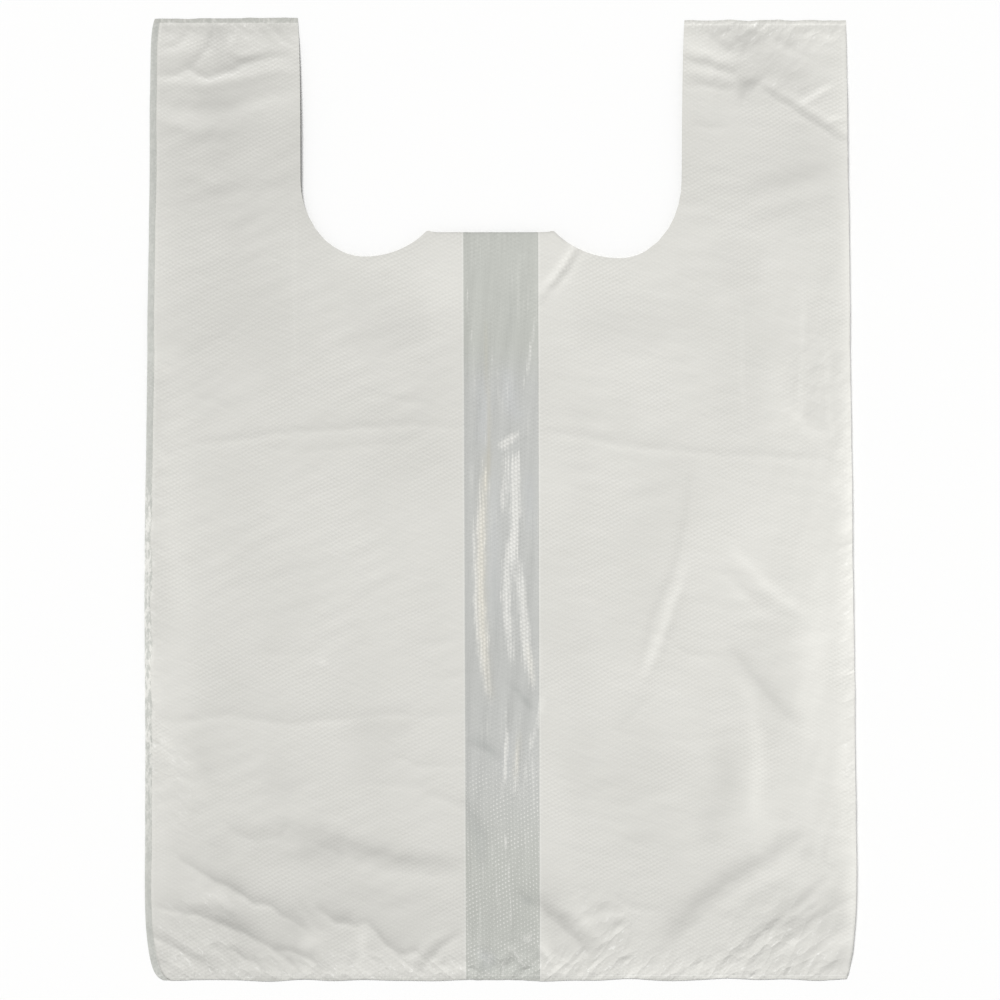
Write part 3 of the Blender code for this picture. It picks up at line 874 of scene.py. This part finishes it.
def snap_to_mouth(points):
    """Moves points that are nearly on the mouth's edge onto it, so that the cut leaves no slivers."""
    near = 0.42 * MM
    step = 0.02 * MM
    for _ in range(2):
        x, y = points[:, 0], points[:, 1]
        clear = film_clear(x, y)
        gx = (film_clear(x + step, y) - film_clear(x - step, y)) / (2 * step)
        gy = (film_clear(x, y + step) - film_clear(x, y - step)) / (2 * step)
        size = np.maximum(gx**2 + gy**2, 1e-6)
        close = (np.abs(clear) < near) & (size < 4)
        points[close, 0] -= (clear * gx / size)[close]
        points[close, 1] -= (clear * gy / size)[close]
    clear = film_clear(points[:, 0], points[:, 1])
    clear[np.abs(clear) < 0.05 * MM] = 0.0
    return clear


def crossing(points, clear, a, b):
    """Where the mouth's edge crosses the line from point a to point b."""
    low, high = (a, b) if clear[a] > 0 else (b, a)
    start, end = points[low].copy(), points[high].copy()
    for _ in range(14):
        middle = (start + end) / 2
        if film_clear(middle[0], middle[1]) > 0:
            start = middle
        else:
            end = middle
    return (start + end) / 2


def punch(points, faces):
    """Cuts the mouth through every layer."""
    clear = snap_to_mouth(points)
    added = []
    known = {}
    kept = []
    for face in faces:
        signs = [clear[corner] for corner in face]
        if min(signs) >= 0:
            if max(signs) > 0:
                kept.append(face)
            continue
        if max(signs) <= 0:
            continue
        cut = []
        for at, corner in enumerate(face):
            other = face[(at + 1) % len(face)]
            if clear[corner] >= 0:
                cut.append(corner)
            if clear[corner] * clear[other] < 0:
                key = (min(corner, other), max(corner, other))
                if key not in known:
                    known[key] = len(points) + len(added)
                    added.append(crossing(points, clear, *key))
                cut.append(known[key])
        if len(cut) > 2:
            kept.append(cut)
    return (np.concatenate([points, np.array(added)]) if added else points), kept


def used_only(points, faces):
    used = sorted({corner for face in faces for corner in face})
    new = {old: at for at, old in enumerate(used)}
    return points[used], [[new[corner] for corner in face] for face in faces]


def build_bag():
    rows = row_heights()
    columns = tube_columns()
    points, numbers = tube_points(columns, rows)
    points, faces = punch(points, tube_faces(columns, rows, numbers))
    points, faces = used_only(points, faces)
    mesh = bpy.data.meshes.new("film_bag")
    mesh.from_pydata(points.tolist(), [], faces)
    mesh.validate()
    mesh.update()
    mesh.polygons.foreach_set("use_smooth", [True] * len(mesh.polygons))
    bag = bpy.data.objects.new("film_bag", mesh)
    bpy.context.scene.collection.objects.link(bag)
    return bag


# --- material -----------------------------------------------------------------------------------


class Signal:
    """A node's output, which adds, subtracts and multiplies as a number does."""

    def __init__(self, nodes, socket):
        self.nodes = nodes
        self.socket = socket

    def __add__(self, other):
        return self.nodes.math("ADD", self, other)

    def __sub__(self, other):
        return self.nodes.math("SUBTRACT", self, other)

    def __rsub__(self, other):
        return self.nodes.math("SUBTRACT", other, self)

    def __mul__(self, other):
        return self.nodes.math("MULTIPLY", self, other)


class Nodes:
    """Short ways to add and join shader nodes."""

    def __init__(self, name):
        self.material = bpy.data.materials.new(name)
        self.material.use_nodes = True
        self.tree = self.material.node_tree
        self.shader = self.tree.nodes["Principled BSDF"]

    def add(self, kind, **settings):
        node = self.tree.nodes.new(kind)
        for key, value in settings.items():
            setattr(node, key, value)
        return node

    def put(self, socket, value):
        if isinstance(value, Signal):
            value = value.socket
        if isinstance(value, bpy.types.NodeSocket):
            self.tree.links.new(value, socket)
        else:
            socket.default_value = value

    def math(self, operation, *values, clamp=False):
        node = self.add("ShaderNodeMath", operation=operation, use_clamp=clamp)
        for at, value in enumerate(values):
            self.put(node.inputs[at], value)
        return Signal(self, node.outputs[0])

    def step(self, value, start, end):
        node = self.add("ShaderNodeMapRange", interpolation_type="SMOOTHSTEP")
        for name, entry in (("Value", value), ("From Min", start), ("From Max", end)):
            self.put(node.inputs[name], entry)
        return Signal(self, node.outputs[0])

    def scaled(self, vector, x, y, degrees=0.0):
        """The place turned about Z and then stretched."""
        if degrees:
            vector = self.mapping(vector, "Rotation", (0.0, 0.0, math.radians(degrees)))
        return self.mapping(vector, "Scale", (x, y, 1.0))

    def mapping(self, vector, kind, value):
        node = self.add("ShaderNodeMapping")
        self.put(node.inputs["Vector"], vector)
        node.inputs[kind].default_value = value
        return node.outputs[0]

    def noise(self, vector, scale, detail=2.0, rough=0.5):
        node = self.add("ShaderNodeTexNoise")
        self.put(node.inputs["Vector"], vector)
        node.inputs["Scale"].default_value = scale
        node.inputs["Detail"].default_value = detail
        node.inputs["Roughness"].default_value = rough
        return Signal(self, node.outputs[0])

    def field(self, name):
        return Signal(self, self.add("ShaderNodeAttribute", attribute_name=name).outputs["Fac"])

    def facets(self, vector):
        """Small flat-sided cells like those of crumpled film, from 0 to about 0.7."""
        bent = self.add("ShaderNodeVectorMath", operation="MULTIPLY_ADD")
        self.put(bent.inputs[0], self.noise(vector, 160.0))
        bent.inputs[1].default_value = (6.0 * MM, 6.0 * MM, 0.0)
        self.put(bent.inputs[2], vector)
        cells = self.add("ShaderNodeTexVoronoi", feature="F1")
        self.put(cells.inputs["Vector"], bent.outputs[0])
        cells.inputs["Scale"].default_value = 230.0
        return Signal(self, cells.outputs["Distance"])

    def blend(self, share, first, second, kind="MIX"):
        node = self.add("ShaderNodeMix", data_type="RGBA", blend_type=kind)
        for socket, value in ((0, share), (6, first), (7, second)):
            self.put(node.inputs[socket], value)
        return node.outputs[2]

    def times(self, first, second):
        return self.blend(1.0, first, second, "MULTIPLY")


# Emboss: the two directions of its lattice, as waves to the metre across and up the bag
EMBOSS_ONE = (442.0, 560.0)
EMBOSS_TWO = (261.0, -539.0)
FOUR_LAYERS = (0.672, 0.665, 0.628, 1.0)
FOUR_LAYERS_DULL = (0.640, 0.634, 0.597, 1.0)
# painted highlight on the crests of crumples
CRUMPLE_HIGHLIGHT = (0.880, 0.875, 0.845, 1.0)
TWO_LAYERS = (0.502, 0.508, 0.490, 1.0)
TWO_LAYERS_GREEN = (0.488, 0.498, 0.464, 1.0)
# painted shade in the strip's creases
TWO_LAYERS_SHADED = (0.370, 0.384, 0.368, 1.0)
# paler film where it clings, partly painted highlight
CLING_AND_GLINT = (0.716, 0.712, 0.680, 1.0)
WARM_TINT = (1.000, 0.955, 0.860, 1.0)
COOL_FILM = (0.550, 0.562, 0.566, 1.0)
# painted highlight along each pleat's fold
PLEAT_HIGHLIGHT = (0.735, 0.735, 0.700, 1.0)
SLIVER = (0.500, 0.510, 0.480, 1.0)
SLIVER_CRUMPLED = (0.720, 0.715, 0.680, 1.0)
SEAL_LINE = (0.780, 0.775, 0.735, 1.0)
SEAL_BAND = (0.470, 0.475, 0.440, 1.0)
NO_TINT = (1.0, 1.0, 1.0, 1.0)

# Bump heights
EMBOSS_HEIGHT = 0.0064 * MM
GRAIN_HEIGHT = 0.055 * MM
DRAWN_HEIGHT = 0.085 * MM
UPRIGHT_HEIGHT = 0.24 * MM
FACET_HEIGHT = 0.62 * MM
GATHER_HEIGHT = 0.34 * MM


def emboss(n, x, y, place):
    """A diamond lattice of small raised dots, from about -1.5 to 3, a little uneven in its rows."""
    uneven = n.noise(place, 120.0) * 1.1

    def wave(across, up):
        return n.math("COSINE", (x * across + y * up + uneven) * (2 * math.pi))

    third = (EMBOSS_ONE[0] + EMBOSS_TWO[0], EMBOSS_ONE[1] + EMBOSS_TWO[1])
    return wave(*EMBOSS_ONE) + wave(*EMBOSS_TWO) + wave(*third)


def pleat_x(y, edge):
    """A pleat's fold line as a function of y."""
    low = float(edge(FOOT))
    slope = (float(edge(TOP)) - low) / LENGTH
    return y * slope + (low - slope * FOOT)


def strip_colour(n, place, y, dots):
    """Two layers: grey-green and see-through, paler where the front clings to the back, partly from the
    contact and partly painted highlight, with painted glints on the emboss dots low down and painted
    shade in the strip's creases.
    """
    streak = n.step(n.noise(n.scaled(place, 1.0, 0.06), 640.0, 3.0, 0.6), 0.48, 0.80)
    patch = n.step(n.noise(place, 34.0), 0.42, 0.66)
    fine = n.noise(n.scaled(place, 1.0, 0.09), 1500.0)
    cling_and_shade = n.field("cling_and_shade")
    ragged = cling_and_shade + (streak - 0.30) * 0.60 + (fine - 0.47) * 0.8
    held = n.step(ragged * n.step(cling_and_shade, 0.05, 0.30), 0.14, 0.95) * (0.92 - dots * 0.26)
    faint = streak * patch * 0.42
    low = n.step(y, -92 * MM, -128 * MM)
    # Painted glints on the emboss dots in the lower part of the strip
    points = n.step(dots, 0.7, 2.2) * (low * 0.85)
    # Paler where the film clings and along faint streaks: partly contact, partly painted highlight
    cling_and_glint = n.math("ADD", n.math("MAXIMUM", held, faint), points, clamp=True)
    base = n.blend(n.step(y, 70 * MM, 45 * MM), TWO_LAYERS_GREEN, TWO_LAYERS)
    base = n.blend(n.step(y, -110 * MM, -160 * MM), base, TWO_LAYERS_GREEN)
    base = n.blend(n.field("cool") * 0.7, base, COOL_FILM)
    two = n.blend(cling_and_glint, base, CLING_AND_GLINT)
    # Painted shade in the strip's creases, where the clinging field is below 0
    two = n.blend(n.step(cling_and_shade, -0.02, -0.85), two, TWO_LAYERS_SHADED)
    return n.times(two, n.blend(n.field("warm"), NO_TINT, WARM_TINT))


def seal_colour(n, colour, x, y, to_end, crimp):
    """A paler line where each seal begins, and a darker crimped band past it."""
    foot = n.step(y, 0.0, -10 * MM)
    right = n.step(x, 20 * MM, 60 * MM)
    left_head = (1.0 - foot) * (1.0 - right)
    edge = to_end + (crimp - 0.5) * (0.6 * MM) - left_head * (0.5 * MM)
    band = n.step(edge, 1.5 * MM, 1.1 * MM) * n.step(crimp, 0.25, 0.55)
    darker = 0.80 - n.math("MAXIMUM", foot, right) * 0.42
    colour = n.blend(band * darker, colour, SEAL_BAND)
    start = n.step(edge, SEAL - 0.1 * MM, SEAL + 0.25 * MM)
    end = n.step(edge, SEAL + 0.9 * MM, SEAL + 0.45 * MM)
    paler = (right * 0.45 + 0.22) * (foot * 0.75 + 0.45)
    return n.blend(start * end * paler, colour, SEAL_LINE)


def sliver_colour(n, colour, place, y):
    """The edge where the back stands out past the front: clean above, finely crumpled below."""
    crumple = n.step(n.noise(n.scaled(place, 1.0, 0.3), 900.0, 3.0, 0.7), 0.40, 0.62)
    below = n.step(y, 14 * MM, -6 * MM) * n.step(y, -175 * MM, -90 * MM)
    tone = n.blend(crumple * (below * 0.75 + 0.22), SLIVER, SLIVER_CRUMPLED)
    return n.blend(n.field("thin"), colour, tone)


def film_relief(n, place, drawn_out, dots, strip, to_end, crimp):
    """Heights for the bump: emboss, grain, crumples and the gathers beside the seals, in metres."""
    worn = n.step(n.noise(place, 34.0, 3.0), 0.34, 0.66) * 1.1
    shown = worn + 0.35 + strip * n.field("cling_and_shade") * 1.2
    grain = n.noise(n.scaled(place, 1.0, 1.0, 20.0), 560.0, 4.0, 0.62)
    drawn = n.noise(n.scaled(place, 0.22, 1.0, 22.0), 330.0, 3.0, 0.6)
    upright = n.noise(n.scaled(place, 1.0, 0.10), 620.0, 3.0, 0.6)
    relief = dots * shown * EMBOSS_HEIGHT + grain * GRAIN_HEIGHT + drawn * DRAWN_HEIGHT
    relief = relief + upright * strip * UPRIGHT_HEIGHT
    relief = relief + n.facets(drawn_out) * (n.field("crumple") * FACET_HEIGHT)
    return relief + crimp * (n.step(to_end, 8 * MM, 1.5 * MM) * GATHER_HEIGHT)


def four_layer_colour(n, place, dots, drawn_out):
    """The milky film: a little cloudy, with the emboss, and painted highlights on the crests of its
    crumples.
    """
    cloud = n.step(n.noise(place, 22.0, 4.0), 0.32, 0.72)
    colour = n.blend(cloud + (dots - 0.2) * 0.10, FOUR_LAYERS, FOUR_LAYERS_DULL)
    # Painted highlights on the crests of the crumples
    crumple_glint = n.step(n.noise(drawn_out, 430.0, 3.0, 0.65), 0.58, 0.72)
    return n.blend(crumple_glint * (n.field("crumple") * 0.95), colour, CRUMPLE_HIGHLIGHT)


def film_material():
    n = Nodes("film")
    place = n.add("ShaderNodeTexCoord").outputs["Object"]
    split = n.add("ShaderNodeSeparateXYZ")
    n.put(split.inputs[0], place)
    x, y = [Signal(n, split.outputs[axis]) for axis in (0, 1)]
    within = n.math("MINIMUM", x - pleat_x(y, left_pleat), pleat_x(y, right_pleat) - x)
    strip = n.step(within, -0.15 * MM, 0.2 * MM)
    # A painted highlight along each pleat's fold, on the side away from the strip
    line = n.step(within, -0.9 * MM, -0.45 * MM) * (1.0 - strip)
    to_end = n.math("MINIMUM", y - FOOT, TOP - y)
    crimp = n.noise(n.scaled(place, 1.0, 0.30), 520.0, 3.0, 0.6)
    dots = emboss(n, x, y, place)
    outward = n.add("ShaderNodeCombineXYZ")
    n.put(outward.inputs[0], n.math("ABSOLUTE", x))
    n.put(outward.inputs[1], y)
    drawn_out = n.scaled(outward.outputs[0], 0.50, 1.0, -46.0)

    four = four_layer_colour(n, place, dots, drawn_out)
    colour = n.blend(strip, four, strip_colour(n, place, y, dots))
    colour = n.blend(line * 0.40, colour, PLEAT_HIGHLIGHT)
    colour = sliver_colour(n, colour, place, y)
    colour = seal_colour(n, colour, x, y, to_end, crimp)
    # tone brings the painted shade and painted highlights into the base colour
    n.put(n.shader.inputs["Base Color"], n.times(colour, n.field("tone")))

    bump = n.add("ShaderNodeBump")
    bump.inputs["Strength"].default_value = 1.0
    bump.inputs["Distance"].default_value = 1.0
    n.put(bump.inputs["Height"], film_relief(n, place, drawn_out, dots, strip, to_end, crimp))
    n.put(n.shader.inputs["Normal"], bump.outputs[0])

    satin = n.noise(place, 60.0, 3.0) * 0.16 + 0.34 - strip * 0.10 - n.field("crumple") * 0.08
    n.put(n.shader.inputs["Roughness"], satin)
    n.shader.inputs["Specular IOR Level"].default_value = 0.45
    n.shader.inputs["IOR"].default_value = 1.52
    return n.material


def edge_light_and_shade(x, y):
    """Painted highlights along the left and right folds and the foot, lighter film along the crumpled
    part of the left edge, and darker film along the mouth's cut edge, in eight-bit steps.
    """
    tab = np.exp(-np.abs(film_clear(x, y)) / (0.5 * MM)) * (np.abs(x) < TAB_REACH)
    right = np.exp(-np.abs(right_edge(y) - x) / (0.7 * MM))
    left = np.exp(-np.abs(left_edge(y) - x) / (0.9 * MM))
    crumpled = crumpled_edge(y) * fade(front_left_edge(y) - x, 0.0, 1 * MM)
    foot = np.exp(-(y - FOOT) / (5 * MM)) * fade(y, FOOT + 1 * MM, FOOT + 2.5 * MM)
    return 20.0 * right + 9.0 * left + 7.0 * crumpled + 5.0 * foot - 16.0 * tab


def light_and_shade_levels(x, y):
    """How much the milky film's colour is made lighter or darker from place to place, in eight-bit steps:
    painted shade in the creases, the painted shade and highlights of the strokes and edges, and broad
    patches and gradients.
    """
    moved_x, moved_y = wandered(x, y, WANDER, WANDER_SEED)
    levels = SHADE_PER_MM * fold_marks(moved_x, moved_y) + strokes(moved_x, moved_y, PAINTED_LIGHT_AND_SHADE)
    levels += edge_light_and_shade(x, y)
    x = x / MM
    y = y / MM
    for step, across, up, half_width, half_height in PATCHES:
        levels += step * np.exp(-(((x - across) / half_width) ** 2 + ((y - up) / half_height) ** 2))
    # Lighter towards the right, darker towards the handle tops and the foot, lighter at the lower right
    levels += 3.4 * np.tanh((x - 8) / 34)
    levels -= 5.5 * fade(y, 105, 135) * (1 - 0.35 * fade(x, 0, 30))
    levels -= 2.5 * fade(-y, 128, 185)
    levels += 4.5 * fade(x, 96, 148) * fade(-y, -70, -20) * fade(y, -190, -140)
    return levels


def mark_film(bag):
    """Attributes on the mesh. thin is 1 where the back stands out past the front, so only two layers
    lie. cling, warm and cool follow the streaks of the centre strip; the clinging one is below 0 in
    the strip's creases, which get painted shade. tone scales the film's colour with painted shade,
    painted highlights and broader lighter and darker patches, and crumple is where it is finely creased.
    """
    mesh = bag.data
    count = len(mesh.vertices)
    points = np.empty(count * 3)
    mesh.vertices.foreach_get("co", points)
    points = points.reshape(-1, 3)
    x, y = points[:, 0], points[:, 1]
    strip_x, strip_y = wandered(x, y, 0.18, 71)
    fields = {
        "thin": (x < front_left_edge(y) - 0.02 * MM).astype(float),
        "cling_and_shade": strokes(strip_x, strip_y, CLINGS_AND_SHADE),
        "warm": strokes(strip_x, strip_y, WARM),
        "cool": strokes(strip_x, strip_y, COOL),
        "crumple": np.clip(strokes(x / MM, y / MM, CRUMPLES), 0, 1),
        "tone": (1.0 + light_and_shade_levels(x, y) / FILM_LEVEL) ** 2.2,
    }
    for name, values in fields.items():
        attribute = mesh.attributes.new(name, "FLOAT", "POINT")
        attribute.data.foreach_set("value", values)


# --- floor, light and camera ----------------------------------------------------------------------

FLOOR_REACH = 40.0
KEY_STRENGTH = 3.6
KEY_FROM = 104.0
KEY_RISE = 34.0
KEY_ANGLE = 16.0
SURROUND = 0.45
HORIZON = 0.88
HORIZON_LOW = 0.01  # sine of the rise at which the horizon's brightness starts to fade
HORIZON_HIGH = 0.17
LENS = 85.0
SENSOR = 36.0
FRAME_WIDTH = 425.0 * MM


def make_floor():
    n = Nodes("floor")
    n.shader.inputs["Base Color"].default_value = (0.905, 0.905, 0.902, 1.0)
    n.shader.inputs["Roughness"].default_value = 0.9
    n.shader.inputs["Specular IOR Level"].default_value = 0.1
    mesh = bpy.data.meshes.new("floor")
    around = [(-1, -1), (1, -1), (1, 1), (-1, 1)]
    corners = [(x * FLOOR_REACH, y * FLOOR_REACH, 0.0) for x, y in around]
    mesh.from_pydata(corners, [], [(0, 1, 2, 3)])
    floor = bpy.data.objects.new("floor", mesh)
    floor.data.materials.append(n.material)
    bpy.context.scene.collection.objects.link(floor)


def aim(obj, target):
    obj.rotation_euler = (Vector(target) - obj.location).to_track_quat("-Z", "Y").to_euler()


def make_key():
    """A broad light from past the handle tops, low enough to show the creases."""
    data = bpy.data.lights.new("key", "SUN")
    data.energy = KEY_STRENGTH
    data.angle = math.radians(KEY_ANGLE)
    key = bpy.data.objects.new("key", data)
    turn_to = math.radians(KEY_FROM)
    rise = math.radians(KEY_RISE)
    reach = math.cos(rise)
    key.location = (reach * math.cos(turn_to), reach * math.sin(turn_to), math.sin(rise))
    bpy.context.scene.collection.objects.link(key)
    aim(key, (0.0, 0.0, 0.0))


def make_surround():
    """An even surround, paler near the horizon."""
    world = bpy.data.worlds.new("studio")
    world.use_nodes = True
    tree = world.node_tree
    background = tree.nodes["Background"]
    background.inputs["Color"].default_value = (1.0, 1.0, 1.0, 1.0)
    direction = tree.nodes.new("ShaderNodeTexCoord")
    split = tree.nodes.new("ShaderNodeSeparateXYZ")
    rise = tree.nodes.new("ShaderNodeMapRange")
    rise.inputs["From Min"].default_value = HORIZON_LOW
    rise.inputs["From Max"].default_value = HORIZON_HIGH
    rise.inputs["To Min"].default_value = HORIZON
    rise.inputs["To Max"].default_value = SURROUND
    tree.links.new(direction.outputs["Generated"], split.inputs[0])
    tree.links.new(split.outputs[2], rise.inputs["Value"])
    tree.links.new(rise.outputs[0], background.inputs["Strength"])
    bpy.context.scene.world = world


def make_camera():
    """Straight above the bag, with the photo's width in view."""
    data = bpy.data.cameras.new("camera")
    data.lens = LENS
    data.sensor_width = SENSOR
    camera = bpy.data.objects.new("camera", data)
    camera.location = (0.0, 0.0, FRAME_WIDTH / SENSOR * LENS)
    bpy.context.scene.collection.objects.link(camera)
    bpy.context.scene.camera = camera


make_floor()
make_key()
make_surround()
make_camera()
bpy.context.scene.view_settings.view_transform = "Standard"
bag = build_bag()
mark_film(bag)
bag.data.materials.append(film_material())
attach(bag, "root")
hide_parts("carrier_bag")
